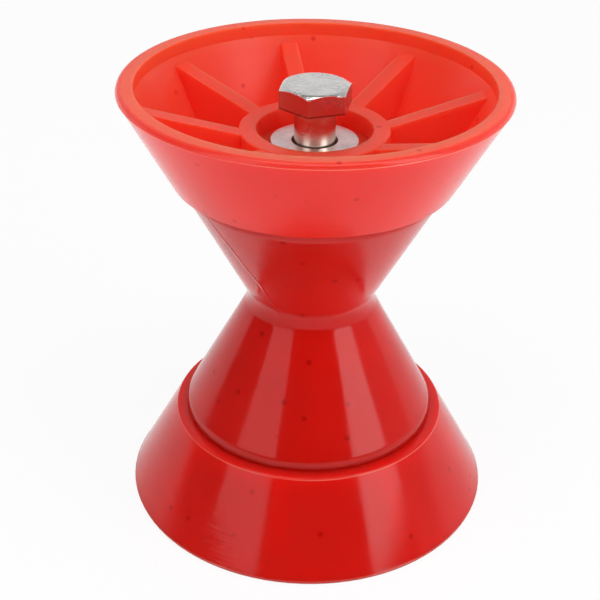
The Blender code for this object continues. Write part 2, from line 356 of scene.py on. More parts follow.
# %% [markdown]
# A corner of the section is rounded with the bevel of a point, which is given the
# distance from the corner to where the arc begins. The spin leaves the last ring of
# points on the first, so doubles are merged before the normals are made to agree.

# %% Helpers for turned pieces
SPIN_STEPS = 96
MERGE_WITHIN = 1e-6
NO_LENGTH = 1e-7


def round_corner(piece, corner, radius, steps):
    """Rounds the section's corner that lies nearest to (radius, height)."""
    mesh = bmesh.from_edit_mesh(piece.data)
    target = Vector((corner[0] * MM, 0, corner[1] * MM))
    mesh.verts.ensure_lookup_table()
    nearest = min(mesh.verts, key=lambda point: (point.co - target).length)
    arms = [(edge.other_vert(nearest).co - nearest.co) for edge in nearest.link_edges]
    reach = radius * MM / math.tan(arms[0].angle(arms[1]) / 2)
    index = nearest.index
    pick(piece, lambda point: point.index == index)
    bpy.ops.mesh.bevel(
        affect="VERTICES", offset_type="OFFSET", offset=reach, segments=steps, profile=0.5
    )


def spin_section(piece, steps):
    """Spins the drawn section into a closed solid and leaves edit mode."""
    bpy.ops.mesh.select_all(action="SELECT")
    bpy.ops.mesh.spin(
        steps=steps, angle=2 * math.pi, center=(0, 0, 0), axis=(0, 0, 1), use_auto_merge=True
    )
    bpy.ops.mesh.select_all(action="SELECT")
    bpy.ops.mesh.remove_doubles(threshold=MERGE_WITHIN)
    bpy.ops.mesh.dissolve_degenerate(threshold=NO_LENGTH)
    bpy.ops.mesh.select_all(action="SELECT")
    bpy.ops.mesh.normals_make_consistent(inside=False)
    bpy.ops.object.mode_set(mode="OBJECT")


def turn_piece(name, corners, rounds=(), steps=SPIN_STEPS, closed=True):
    """A whole turned piece: its section, the corners to round, and the spin."""
    piece = draw_section(name, corners, closed)
    for corner, radius, parts in rounds:
        round_corner(piece, corner, radius, parts)
    spin_section(piece, steps)
    return piece


print("turned pieces have", SPIN_STEPS, "steps round the axis")

# %% [markdown]
# ## Joining, cutting and finishing
# A Boolean modifier joins or cuts with a second shape, which is then thrown away.
# Weighted normals keep the big flat faces flat where they meet small fillets, and
# a last check counts open edges, because a moulding is a closed solid.

# %% Helpers for joining and finishing
SMOOTH_BELOW = 22
FLAT_WEIGHT = 80
CM3 = 1e-6


def combine(piece, tool, operation):
    """Joins, cuts or intersects a piece with a tool and removes the tool."""
    deselect_all()
    bpy.context.view_layer.objects.active = piece
    piece.select_set(True)
    bpy.ops.object.modifier_add(type="BOOLEAN")
    step = piece.modifiers[-1]
    step.operation = operation
    step.solver = "EXACT"
    step.object = tool
    bpy.ops.object.modifier_apply(modifier=step.name)
    bpy.data.objects.remove(tool)


def smooth_finish(piece):
    """Smooth shading that keeps sharp edges, with the flats kept flat."""
    deselect_all()
    bpy.context.view_layer.objects.active = piece
    piece.select_set(True)
    bpy.ops.object.shade_smooth_by_angle(angle=math.radians(SMOOTH_BELOW))
    bpy.ops.object.modifier_add(type="WEIGHTED_NORMAL")
    step = piece.modifiers[-1]
    step.keep_sharp = True
    step.weight = FLAT_WEIGHT
    bpy.ops.object.modifier_apply(modifier=step.name)


def report(piece):
    """Prints the size of a mesh and how many of its edges are open."""
    mesh = bmesh.new()
    mesh.from_mesh(piece.data)
    open_edges = sum(1 for edge in mesh.edges if len(edge.link_faces) != 2)
    volume = mesh.calc_volume() / CM3
    print(f"{piece.name}: {len(mesh.faces)} faces, {open_edges} open edges, {volume:.2f} cm3")
    mesh.free()


def dress(piece, finish, body, node):
    """Gives a piece its finish and its body, hides the CAD node that it stands for, and
    reports its mesh.
    """
    piece.data.materials.clear()
    piece.data.materials.append(finish)
    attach(piece, body)
    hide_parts(node)
    report(piece)


print("edges under", SMOOTH_BELOW, "degrees are shaded smooth")

# %% [markdown]
# ## Red moulded plastic
# The bells and the spool are glossy reds that let a little light through, so the
# open upper bell glows. Each could have a tree of its own, but they differ only in
# colour and in a few marks, so one tree makes all three. It needs the sizes of the
# bell's outer cone, to know the inside of the cup from the outside.

# %% Sizes of a bell's cone
BELL_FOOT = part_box("upper_bell")[0].z / MM
BELL_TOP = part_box("upper_bell")[1].z / MM
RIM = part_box("upper_bell")[1].x / MM
BELL_SMALL = 41.5
CREASE_DROP = 1.5
BELL_CREASE = BELL_TOP - CREASE_DROP
FLARE = (RIM - BELL_SMALL) / (BELL_CREASE - BELL_FOOT)
print("bell", BELL_SMALL, "to", round(RIM, 2), "mm, crease at", round(BELL_CREASE, 2))

# %% [markdown]
# The thin walls of the upper bell have daylight on both sides. Its inner skin is
# painted a more orange red, most of all on the thin lip: a painted glow for the
# light that comes through those walls. The tree finds it by comparing the radius of
# a point with that of the outer cone. The rounded edge above the crease is painted
# a deeper red, a painted shade.

# %% Painted glow on the inner skin, painted shade on the rounded edge
SKIN_FROM, SKIN_TO = 1.0, 3.0
LIP_FROM, LIP_TO = BELL_TOP - 7, BELL_TOP - 3
EDGE_RISE, EDGE_SHADE_SHARE = 0.3, 0.7
EDGE_END_FROM, EDGE_END_TO = BELL_TOP - 0.25, BELL_TOP - 0.05
# Painted shade: the upper bell's rounded edge above the crease is darkened to this red.
EDGE_SHADE_RED = (0.66, 0.050, 0.036)


def find_inside(tree, height, radius):
    """1 inside the cup of the upper bell, 0 on its outer skin."""
    cone = scale_value(
        tree, height, BELL_FOOT * MM, BELL_TOP * MM,
        BELL_SMALL * MM, (BELL_SMALL + FLARE * (BELL_TOP - BELL_FOOT)) * MM,
    )
    depth = calculate(tree, "SUBTRACT", cone, radius)
    return scale_value(tree, depth, SKIN_FROM * MM, SKIN_TO * MM, 0.0, 1.0)


def paint_glow_and_edge_shade(tree, base, height, inside, glow_orange, lip):
    """Paints glow on the inner skin and lip, and shade on the rounded edge, over a colour."""
    near_lip = scale_value(tree, height, LIP_FROM * MM, LIP_TO * MM, 0.0, 1.0)
    base = blend(tree, inside, base, blend(tree, near_lip, glow_orange, lip))
    # Painted shade on the rounded edge above the crease, outside the cup only.
    edge = scale_value(
        tree, height, BELL_CREASE * MM, (BELL_CREASE + EDGE_RISE) * MM, 0.0, EDGE_SHADE_SHARE
    )
    below_top = scale_value(tree, height, EDGE_END_FROM * MM, EDGE_END_TO * MM, 1.0, 0.0)
    edge = calculate(tree, "MULTIPLY", edge, below_top)
    edge = calculate(tree, "MULTIPLY", edge, calculate(tree, "SUBTRACT", 1.0, inside))
    return blend(tree, edge, base, EDGE_SHADE_RED)


print("inner skin begins", SKIN_FROM, "mm under the outer cone")

# %% [markdown]
# Sparse specks are the small bubbles and burnt grains in a moulding. They could be
# dots put in by hand; here each is the middle of a cell of a Voronoi pattern, and
# only some cells are chosen. Where the halves of the mould closed, the bells have a
# seam, and a pale line painted along it is a painted highlight: a thin line at one
# height, broken up by the clouds.

# %% Specks, and seams with painted highlights
SPECK_SCALE = 150.0
CHOSEN_FROM, CHOSEN_TO = 0.56, 0.60
SPECK_CORE, SPECK_END = 0.07, 0.17
SPECK_SHARE = 0.85
SEAM_CORE, SEAM_END = 0.06, 0.18
SEAM_FAINT, SEAM_STRONG = 0.1, 0.55
# The painted highlight colour along the seams.
SEAM_HIGHLIGHT_PALE = (0.90, 0.27, 0.20)


def find_specks(tree, place):
    """1 in the middle of a few scattered specks, 0 elsewhere."""
    cells = add_node(tree, "ShaderNodeTexVoronoi", {"Vector": place, "Scale": SPECK_SCALE})
    chance = add_node(
        tree, "ShaderNodeSeparateColor", {0: cells.outputs["Color"]}
    ).outputs[0]
    chosen = scale_value(tree, chance, CHOSEN_FROM, CHOSEN_TO, 0.0, 1.0)
    spot = scale_value(tree, cells.outputs["Distance"], SPECK_CORE, SPECK_END, 1.0, 0.0)
    return calculate(tree, "MULTIPLY", chosen, spot)


def find_seam_highlight(tree, height, seam, clouds):
    """How much of the painted seam highlight a point has, for a seam at one height."""
    off = calculate(tree, "ABSOLUTE", calculate(tree, "SUBTRACT", height, seam * MM))
    line = scale_value(tree, off, SEAM_CORE * MM, SEAM_END * MM, 1.0, 0.0)
    broken = scale_value(tree, clouds, 0.35, 0.6, SEAM_FAINT, SEAM_STRONG)
    return calculate(tree, "MULTIPLY", line, broken)


print("specks in cells of", round(1 / SPECK_SCALE / MM, 1), "mm")

# %% [markdown]
# Fine rings run round the axis where the mould was turned: a noise that changes
# fast with height and radius and slowly round the axis. Where two fronts of plastic
# met, the spool has a raised flow line on its upper left flank. It winds up from
# one angle and height to another, wanders with the clouds, and fades at its ends.

# %% Rings and flow line
RING_SCALE, RING_TURN = 1400.0, 2.0
RING_HEIGHT, PEEL_HEIGHT = 0.42, 0.5
PEEL_SCALE = 420.0
FLOW_WANDER = 0.10
FLOW_WIDTH = 0.035
FLOW_FADE, FLOW_HEIGHT = 0.08, 6.0


def skin_relief(tree, place, angle, height, radius):
    """Turned rings and the soft unevenness of a moulded skin."""
    around = calculate(tree, "MULTIPLY", angle, RING_TURN)
    out = calculate(tree, "MULTIPLY", radius, RING_SCALE)
    level = calculate(tree, "MULTIPLY", height, RING_SCALE)
    wound = add_node(tree, "ShaderNodeCombineXYZ", {0: around, 1: out, 2: level})
    rings = calculate(tree, "MULTIPLY", noise(tree, wound.outputs[0], 1.0), RING_HEIGHT)
    peel = calculate(tree, "MULTIPLY", noise(tree, place, PEEL_SCALE), PEEL_HEIGHT)
    return calculate(tree, "ADD", rings, peel)


def flow_ridge(tree, angle, height, clouds, start, end):
    """A ridge between two ends, each given as an angle and a height."""
    (from_angle, low), (to_angle, high) = start, end
    share = scale_value(tree, height, low * MM, high * MM, 0.0, 1.0)
    line = scale_value(
        tree, height, low * MM, high * MM, math.radians(from_angle), math.radians(to_angle)
    )
    wander = scale_value(tree, clouds, 0.2, 0.8, -FLOW_WANDER, FLOW_WANDER)
    off = calculate(tree, "SUBTRACT", calculate(tree, "SUBTRACT", angle, line), wander)
    ridge = scale_value(
        tree, calculate(tree, "ABSOLUTE", off), 0.0, FLOW_WIDTH, 1.0, 0.0
    )
    ends = calculate(tree, "MULTIPLY", share, calculate(tree, "SUBTRACT", 1.0, share))
    ends = scale_value(tree, ends, 0.0, FLOW_FADE, 0.0, FLOW_HEIGHT)
    return calculate(tree, "MULTIPLY", ridge, ends)


print("rings about", round(1 / RING_SCALE / MM, 1), "mm apart")

# %% [markdown]
# Now the whole plastic. Soft clouds vary the colour and scuffs vary the gloss. The
# inside of the cup was moulded on a rougher core, so it is duller. Light that enters
# the plastic comes out again some millimetres away, red most of all.

# %% Plastic
CLOUD_SCALE, SCUFF_SCALE = 26.0, 70.0
BURNT_RED, BURNT_REST = 0.66, 0.3
GLOSS_BEST, GLOSS_WORST = 0.09, 0.18
CORE_DULL = 0.22


def moulded_plastic(name, colour, deep, glow_orange=None, lip=None, flow=None, seams=()):
    """Glossy red plastic, with painted glow on the inner skin, a flow line, or seams with a
    painted highlight, where given.
    """
    finish, tree, shader, place = new_material(name)
    axes = add_node(tree, "ShaderNodeSeparateXYZ", {0: place}).outputs
    height = axes["Z"]
    radius = axis_distance(tree, place)
    angle = calculate(tree, "ARCTAN2", axes["Y"], axes["X"])

    clouds = noise(tree, place, CLOUD_SCALE, detail=3.0, roughness=0.55)
    base = blend(tree, scale_value(tree, clouds, 0.3, 0.7, 0.0, 1.0), colour, deep)
    inside = 0.0
    # Upper bell only: painted glow on the inner skin and lip, painted shade on the rounded
    # edge.
    if glow_orange:
        inside = find_inside(tree, height, radius)
        base = paint_glow_and_edge_shade(tree, base, height, inside, glow_orange, lip)
    burnt = (deep[0] * BURNT_RED, deep[1] * BURNT_REST, deep[2] * BURNT_REST)
    speck = calculate(tree, "MULTIPLY", find_specks(tree, place), SPECK_SHARE)
    base = blend(tree, speck, base, burnt)
    outside = calculate(tree, "SUBTRACT", 1.0, inside)
    # Pale lines along the mould seams: painted highlights, kept off the inside of the cup.
    for seam in seams:
        line = find_seam_highlight(tree, height, seam, clouds)
        base = blend(tree, calculate(tree, "MULTIPLY", line, outside), base, SEAM_HIGHLIGHT_PALE)
    tree.links.new(base, shader.inputs["Base Color"])

    scuffs = noise(tree, place, SCUFF_SCALE, detail=5.0, roughness=0.65, distortion=0.6)
    gloss = scale_value(tree, scuffs, 0.35, 0.7, GLOSS_BEST, GLOSS_WORST)
    gloss = calculate(tree, "ADD", gloss, calculate(tree, "MULTIPLY", inside, CORE_DULL))
    tree.links.new(gloss, shader.inputs["Roughness"])

    relief = skin_relief(tree, place, angle, height, radius)
    if flow:
        ridge = flow_ridge(tree, angle, height, clouds, *flow)
        relief = calculate(tree, "ADD", relief, ridge)
    bump = add_node(tree, "ShaderNodeBump", {
        "Height": relief, "Strength": 0.35, "Distance": 0.12 * MM,
    })
    tree.links.new(bump.outputs[0], shader.inputs["Normal"])
    shader.inputs["IOR"].default_value = 1.35
    shader.inputs["Subsurface Weight"].default_value = 1.0
    shader.inputs["Subsurface Radius"].default_value = (1.0, 0.3, 0.2)
    shader.inputs["Subsurface Scale"].default_value = 20 * MM
    return finish


# The lower bell's second pale line, just under its small end, is a painted highlight along
# that edge.
FOOT_HIGHLIGHT_DROP = 0.45
# The upper bell's reds are more orange than the lower bell's, and its inner skin and lip more
# so: painted glow for light that comes through its walls.
upper_bell_finish = moulded_plastic(
    "upper_bell_red", (0.85, 0.022, 0.013), (0.80, 0.017, 0.010),
    glow_orange=(0.92, 0.065, 0.033), lip=(0.96, 0.094, 0.040), seams=(BELL_CREASE,),
)
lower_bell_finish = moulded_plastic(
    "lower_bell_red", (0.83, 0.011, 0.007), (0.79, 0.009, 0.006),
    seams=(CREASE_DROP, BELL_TOP - BELL_FOOT - FOOT_HIGHLIGHT_DROP),
)
spool_finish = moulded_plastic(
    "spool_red", (0.68, 0.010, 0.006), (0.62, 0.008, 0.005), flow=((-118, 67), (-142, 104))
)
print("plastics", upper_bell_finish.name, lower_bell_finish.name, spool_finish.name)

# %% [markdown]
# ## Steel and nylon
# The bolt is zinc plated: pale grey, slightly cloudy and pitted on the head where
# it was forged and handled. The washers are punched from sheet and keep fine
# scratches. The nylon ring of the nut is plain milky white.

# %% Sizes of the bolt's head
FLATS = 19.0
FACE_RADIUS = FLATS / 2 * 0.95
CHAMFER = math.tan(math.radians(28))
HEAD_HEIGHT = 6.3
BOLT_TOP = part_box("hex_bolt")[1].z / MM
print("head", FLATS, "mm across flats, top at", round(BOLT_TOP, 2))

# %% [markdown]
# The top of the head and its chamfer, which is a cone, are painted brighter than the
# six flats: a painted highlight on the top and a painted shade on the flats. The tree
# finds them by adding the drop of that cone to the height. The shank is a little
# yellow at the washer, and a dark line under the head is painted shade.

# %% Painted light and shade on the bolt
LIT_TOP_FROM, LIT_TOP_TO = BOLT_TOP - 0.22, BOLT_TOP - 0.12
YELLOW_FROM, YELLOW_TO = BOLT_TOP - 11, BOLT_TOP - 7
UNDER_HEAD_SHADE_AT = BOLT_TOP - 6.2
SHADE_LINE_CORE, SHADE_LINE_END, SHADE_LINE_SHARE = 0.2, 0.45, 0.75
# Painted shade: the flats are a duller grey than the bright top. The yellow is the shank's own
# tint.
SIDE_SHADE_GREY = (0.54, 0.50, 0.50)
SHANK_YELLOW = (0.74, 0.69, 0.58)
# Painted shade: a dark line just under the head.
UNDER_HEAD_SHADE = (0.12, 0.08, 0.08)


def find_pitted_and_lit_top(tree, place, height):
    """1 on the top and the chamfer of the bolt's head, 0 below them."""
    past = calculate(tree, "SUBTRACT", axis_distance(tree, place), FACE_RADIUS * MM)
    drop = calculate(tree, "MULTIPLY", calculate(tree, "MAXIMUM", past, 0.0), CHAMFER)
    level = calculate(tree, "ADD", height, drop)
    return scale_value(tree, level, LIT_TOP_FROM * MM, LIT_TOP_TO * MM, 0.0, 1.0)


def paint_bolt_light_and_shade(tree, base, height, pitted_and_lit_top):
    """Keeps the colour on the painted bright top, and lays painted shade on the sides, the
    yellow shank, and a painted shade line under the head.
    """
    lower = scale_value(tree, height, YELLOW_FROM * MM, YELLOW_TO * MM, 1.0, 0.0)
    # The sides get the painted shade grey, the lower shank its yellow tint.
    sides = blend(tree, lower, SIDE_SHADE_GREY, SHANK_YELLOW)
    base = blend(tree, pitted_and_lit_top, sides, base)
    # Painted shade in a thin band under the head.
    seat = calculate(tree, "ABSOLUTE", calculate(tree, "SUBTRACT", height, UNDER_HEAD_SHADE_AT * MM))
    under_head_shade = scale_value(tree, seat, SHADE_LINE_CORE * MM, SHADE_LINE_END * MM, SHADE_LINE_SHARE, 0.0)
    return blend(tree, under_head_shade, base, UNDER_HEAD_SHADE)


print("worn above", round(LIT_TOP_FROM, 2), "mm, grime at", round(UNDER_HEAD_SHADE_AT, 2), "mm")

# %% [markdown]
# One tree makes both steels. Its relief has a fine grain, pits that come in
# patches, and long strokes, and each steel says how deep its pits and scratches are.

# %% Metal and nylon
PIT_SCALE, PATCH_SCALE = 1000.0, 210.0
STROKE_SCALE = (60.0, 2600.0, 300.0)
DULL_SHARE = 0.72


def find_pits(tree, place):
    """1 at the bottom of small pits, which come in patches."""
    cells = add_node(tree, "ShaderNodeTexVoronoi", {"Vector": place, "Scale": PIT_SCALE})
    pit = scale_value(tree, cells.outputs["Distance"], 0.1, 0.45, 1.0, 0.0)
    patches = noise(tree, place, PATCH_SCALE, detail=1.0)
    return calculate(tree, "MULTIPLY", pit, scale_value(tree, patches, 0.48, 0.56, 0.0, 1.0))


def plated_steel(name, colour, roughness, pits, scratches, is_bolt=False):
    """Plated steel, mottled and scratched; on a bolt, with a painted highlight on the top and
    painted shade on the sides.
    """
    finish, tree, shader, place = new_material(name)
    clouds = noise(tree, place, 180.0, detail=4.0)
    grain = noise(tree, place, 1100.0, detail=3.0, roughness=0.7)
    mottle = scale_value(tree, calculate(tree, "ADD", clouds, grain), 0.85, 1.4, 0.0, 1.0)
    dull = tuple(channel * DULL_SHARE for channel in colour)
    base = blend(tree, mottle, colour, dull)
    pit = find_pits(tree, place)
    # On a bolt, the top is painted bright and the sides darker, as painted light and shade.
    if is_bolt:
        height = add_node(tree, "ShaderNodeSeparateXYZ", {0: place}).outputs["Z"]
        pitted_and_lit_top = find_pitted_and_lit_top(tree, place, height)
        base = paint_bolt_light_and_shade(tree, base, height, pitted_and_lit_top)
        pit = calculate(tree, "MULTIPLY", pit, pitted_and_lit_top)
    tree.links.new(base, shader.inputs["Base Color"])
    shader.inputs["Metallic"].default_value = 1.0

    long_way = add_node(
        tree, "ShaderNodeMapping", {"Vector": place, "Scale": STROKE_SCALE}
    ).outputs[0]
    strokes = noise(tree, long_way, 1.0)
    relief = calculate(tree, "MULTIPLY", grain, 0.8)
    relief = calculate(tree, "SUBTRACT", relief, calculate(tree, "MULTIPLY", pit, pits))
    relief = calculate(tree, "ADD", relief, calculate(tree, "MULTIPLY", strokes, scratches))
    bump = add_node(tree, "ShaderNodeBump", {
        "Height": relief, "Strength": 0.5, "Distance": 0.06 * MM,
    })
    tree.links.new(bump.outputs[0], shader.inputs["Normal"])
    gloss = scale_value(tree, clouds, 0.3, 0.7, roughness, roughness + 0.1)
    tree.links.new(gloss, shader.inputs["Roughness"])
    return finish


bolt_finish = plated_steel(
    "bolt_zinc_plate", (0.90, 0.88, 0.86), 0.20, pits=4.0, scratches=0.05, is_bolt=True
)
washer_finish = plated_steel(
    "washer_zinc_plate", (0.92, 0.92, 0.93), 0.30, pits=1.5, scratches=0.6
)

nylon_finish, tree, shader, place = new_material("nylon_white")
milk = blend(tree, noise(tree, place, 300.0), (0.80, 0.80, 0.76), (0.72, 0.73, 0.70))
tree.links.new(milk, shader.inputs["Base Color"])
shader.inputs["Roughness"].default_value = 0.4
shader.inputs["Subsurface Weight"].default_value = 0.3
shader.inputs["Subsurface Scale"].default_value = 1 * MM
print("metals", bolt_finish.name, washer_finish.name, "and", nylon_finish.name)

# %% [markdown]
# ## The end bells
# A bell is a cone cup whose small end lies on the spool. Its rim has a straight lip
# inside and a rounded edge outside, and a crease where the cone begins. The cup is
# turned first. Its hub stands up from the floor with a counterbore for the washer.

# %% Turn the bell's cup
SEAM = 0.12
SEAM_BELOW, SEAM_ABOVE = 0.25, 0.15
LIP_INSIDE = RIM - 5.0
LIP_FOOT = BELL_TOP - 4.0
BELL_WALL = 3.6
FLOOR = BELL_FOOT + 4.0
HUB_RADIUS, HUB_TOP = 21.8, BELL_FOOT + 14.0
SEAT_RADIUS, SEAT = 16.75, BELL_FOOT + 8.0
BORE = 6.5


def cup_inside(height):
    """Radius of the cup's inner cone at a height."""
    return BELL_SMALL + FLARE * (height - BELL_FOOT) - BELL_WALL


bell = turn_piece(
    "upper_bell_moulding",
    [
        (BORE, BELL_FOOT),
        (BELL_SMALL, BELL_FOOT),
        (RIM - SEAM - SEAM_BELOW * FLARE, BELL_CREASE - SEAM_BELOW),
        (RIM, BELL_CREASE),
        (RIM - SEAM, BELL_CREASE + SEAM_ABOVE),
        (RIM - SEAM, BELL_TOP),
        (LIP_INSIDE, BELL_TOP),
        (LIP_INSIDE, LIP_FOOT),
        (cup_inside(FLOOR), FLOOR),
        (HUB_RADIUS, FLOOR),
        (HUB_RADIUS, HUB_TOP),
        (SEAT_RADIUS, HUB_TOP),
        (SEAT_RADIUS, SEAT),
        (BORE, SEAT),
    ],
    rounds=[
        ((RIM - SEAM, BELL_TOP), 1.3, 6),
        ((LIP_INSIDE, BELL_TOP), 0.3, 3),
        ((HUB_RADIUS, HUB_TOP), 0.6, 3),
        ((SEAT_RADIUS, HUB_TOP), 0.4, 3),
        ((BELL_SMALL, BELL_FOOT), 0.6, 4),
    ],
)
report(bell)

# %% [markdown]
# ## The ribs of a bell
# Eight ribs tie the cone to the hub. Their top lines climb from the hub to just
# under the lip, and they are a little thicker at the foot so that the moulding
# comes off its core. One rib is drawn as a flat outline and extruded to its
# thickness, and the spin tool repeats it round the axis as copies.

# %% Model one rib and repeat it
RIB_COUNT = 8
RIB_THICK = 5.0
RIB_SPREAD = 0.35
RIB_TURN = 10.3
SPIN_STEP = 360 / SPIN_STEPS


def radial_ribs(name, outline, thickness, spread, foot_test):
    """Ribs in the planes of the spin, each drawn once and copied round the axis."""
    ribs = draw_section(name, outline)
    pick(ribs, lambda point: True)
    bpy.ops.mesh.edge_face_add()
    bpy.ops.transform.translate(value=(0, -thickness / 2 * MM, 0))
    bpy.ops.mesh.extrude_region_move(TRANSFORM_OT_translate={"value": (0, thickness * MM, 0)})
    pick(ribs, foot_test)
    bpy.ops.transform.resize(
        value=(1, 1 + 2 * spread / thickness, 1), center_override=(0, 0, 0)
    )
    bpy.ops.mesh.select_all(action="SELECT")
    bpy.ops.mesh.normals_make_consistent(inside=False)
    bpy.ops.mesh.spin(
        steps=RIB_COUNT - 1, dupli=True, angle=2 * math.pi * (1 - 1 / RIB_COUNT),
        center=(0, 0, 0), axis=(0, 0, 1),
    )
    bpy.ops.object.mode_set(mode="OBJECT")
    return ribs


HUB_MIDDLE = (HUB_RADIUS + SEAT_RADIUS) / 2
RIB_AT_WALL = BELL_TOP - 6.1
RIB_AT_HUB = HUB_TOP - 0.15
RIB_SLOPE = (RIB_AT_WALL - RIB_AT_HUB) / (cup_inside(RIB_AT_WALL) - HUB_RADIUS)
RIB_FOOT = BELL_FOOT + 2.0
SINK = BELL_WALL / 2
bell_ribs = radial_ribs(
    "bell_ribs",
    [
        (HUB_MIDDLE, RIB_FOOT),
        (cup_inside(RIB_FOOT) + SINK, RIB_FOOT),
        (cup_inside(RIB_AT_WALL) + SINK, RIB_AT_WALL + RIB_SLOPE * SINK),
        (HUB_MIDDLE, RIB_AT_HUB - RIB_SLOPE * (HUB_RADIUS - HUB_MIDDLE)),
    ],
    RIB_THICK, RIB_SPREAD, lambda point: point.co.z < (RIB_FOOT + 1) * MM,
)
report(bell_ribs)

# %% [markdown]
# The spin of the cup and the ribs start at the same plane, so the ribs are turned
# by half a step before they are joined, and no rib shares a plane with a facet.
# Their edges are found by their faces: one that looks sideways round the axis, and
# one that does not. Joined and rounded, the bell is turned to where its ribs stand.

# %% Join the ribs and round their edges
RIB_ROUND = 0.6


def turn_mesh(piece, degrees):
    """Turns a finished mesh about the axis of the roller."""
    piece.data.transform(Quaternion((0, 0, 1), math.radians(degrees)).to_matrix().to_4x4())


def is_rib_side(face):
    """True for a face that looks sideways round the axis."""
    middle = face.calc_center_median()
    sideways = Vector((-middle.y, middle.x, 0)).normalized()
    return abs(face.normal.dot(sideways)) > 0.95


def rib_edge(edge):
    """True for an edge between the side of a rib and anything else."""
    if len(edge.link_faces) != 2:
        return False
    return is_rib_side(edge.link_faces[0]) != is_rib_side(edge.link_faces[1])


turn_mesh(bell_ribs, SPIN_STEP / 2)
combine(bell, bell_ribs, "UNION")
bpy.context.view_layer.objects.active = bell
bpy.ops.object.mode_set(mode="EDIT")
bpy.ops.mesh.select_all(action="SELECT")
bpy.ops.mesh.remove_doubles(threshold=2e-6)
rounded = pick(bell, rib_edge, "edges")
bpy.ops.mesh.bevel(
    affect="EDGES", offset_type="OFFSET", offset=RIB_ROUND * MM, segments=3, profile=0.5,
    clamp_overlap=True,
)
bpy.ops.object.mode_set(mode="OBJECT")
turn_mesh(bell, RIB_TURN - SPIN_STEP / 2)
smooth_finish(bell)
print("rib edges rounded", rounded)

# %% [markdown]
# The lower bell is the same moulding turned over about the spool's middle, so it is
# a copy with its own mesh, rolled half a turn about X.

# %% Copy the bell for the lower end
SPOOL_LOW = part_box("spool_roller")[0].z / MM
SPOOL_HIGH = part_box("spool_roller")[1].z / MM
SPOOL_MID = (SPOOL_LOW + SPOOL_HIGH) / 2


def turn_over(piece, name):
    """A copy of a piece, rolled half a turn about X through the spool's middle."""
    copy = piece.copy()
    copy.data = piece.data.copy()
    copy.name = copy.data.name = name
    bpy.context.scene.collection.objects.link(copy)
    deselect_all()
    copy.select_set(True)
    bpy.context.view_layer.objects.active = copy
    bpy.ops.transform.rotate(
        value=math.pi, orient_axis="X", center_override=(0, 0, SPOOL_MID * MM)
    )
    bpy.ops.object.transform_apply(location=True, rotation=True, scale=True)
    return copy


lower_bell = turn_over(bell, "lower_bell_moulding")
dress(bell, upper_bell_finish, "upper_bell", "upper_bell")
dress(lower_bell, lower_bell_finish, "lower_bell", "lower_bell")
print("lower bell", [round(value / MM, 2) for value in lower_bell.dimensions])

# %% [markdown]
# ## The spool
# The bow of the boat rests in the waist of the spool. Its two flanks are straight
# cones that meet in a hollow fillet and run out into a short upright land. The ends
# are cored with ribs, as thick mouldings are, but the bells cover them, so the
# section simply includes both pockets.

# %% Turn the spool
SPOOL_HALF = SPOOL_HIGH - SPOOL_MID
SPOOL_END = 39.5
SPOOL_WAIST = 18.4
LAND = 38.4
SPOOL_WALL = 5.0
SPOOL_HUB = 13.0
POCKET = 22.0
SPOOL_FLARE = (SPOOL_END - SPOOL_WAIST) / SPOOL_HALF
POCKET_WALL = SPOOL_END - SPOOL_WALL - SPOOL_FLARE * POCKET
LAND_FROM = SPOOL_HALF - (SPOOL_END - LAND) / SPOOL_FLARE

section = [
    (SPOOL_WAIST, 0.0),
    (LAND, LAND_FROM),
    (LAND, SPOOL_HALF),
    (SPOOL_END - SPOOL_WALL, SPOOL_HALF),
    (POCKET_WALL, SPOOL_HALF - POCKET),
    (SPOOL_HUB, SPOOL_HALF - POCKET),
    (SPOOL_HUB, SPOOL_HALF),
    (BORE, SPOOL_HALF),
]
section += [(radius, -height) for radius, height in reversed(section[1:])]
spool = turn_piece(
    "spool_moulding",
    [(radius, SPOOL_MID + height) for radius, height in section],
    rounds=[
        ((SPOOL_WAIST, SPOOL_MID), 7.0, 12),
        ((LAND, SPOOL_MID + LAND_FROM), 6.0, 8),
        ((LAND, SPOOL_MID - LAND_FROM), 6.0, 8),
        ((LAND, SPOOL_HIGH), 0.2, 2),
        ((LAND, SPOOL_LOW), 0.2, 2),
    ],
)
report(spool)

# %% [markdown]
# Each pocket has eight ribs between its wall and the hub, which stop a millimetre
# short of the end. They reach half a wall deep into the plastic all round, so that
# the join leaves no gap.

# %% Rib the spool's pockets
SPOOL_RIB_THICK = 4.0
SPOOL_RIB_SPREAD = 0.3
SUNK = SPOOL_WALL / 2
RIB_LOW, RIB_HIGH = SPOOL_HALF - POCKET - SUNK, SPOOL_HALF - 1.0
SPOOL_HUB_MIDDLE = (SPOOL_HUB + BORE) / 2


def cone_radius(height):
    """Radius of the spool's flank at a height above or below its middle."""
    return SPOOL_END - SPOOL_FLARE * (SPOOL_HALF - height)


for label, side in (("upper", 1), ("lower", -1)):
    outline = [
        (SPOOL_HUB_MIDDLE, SPOOL_MID + side * RIB_LOW),
        (cone_radius(RIB_LOW) - SUNK, SPOOL_MID + side * RIB_LOW),
        (cone_radius(RIB_HIGH) - SUNK, SPOOL_MID + side * RIB_HIGH),
        (SPOOL_HUB_MIDDLE, SPOOL_MID + side * RIB_HIGH),
    ]
    ribs = radial_ribs(
        f"spool_{label}_ribs", outline, SPOOL_RIB_THICK, SPOOL_RIB_SPREAD,
        lambda point: abs(point.co.z / MM - SPOOL_MID) < SPOOL_HALF - POCKET,
    )
    turn_mesh(ribs, RIB_TURN)
    combine(spool, ribs, "UNION")
smooth_finish(spool)
dress(spool, spool_finish, "spool", "spool_roller")

# %% [markdown]
# ## The bolt
# A hexagon bolt head could be a chamfered six-sided cylinder. Here it is made as a
# turner would: the whole outline is turned, chamfer included, and what lies
# outside the hexagonal bar is taken away, which leaves the true curved edges.

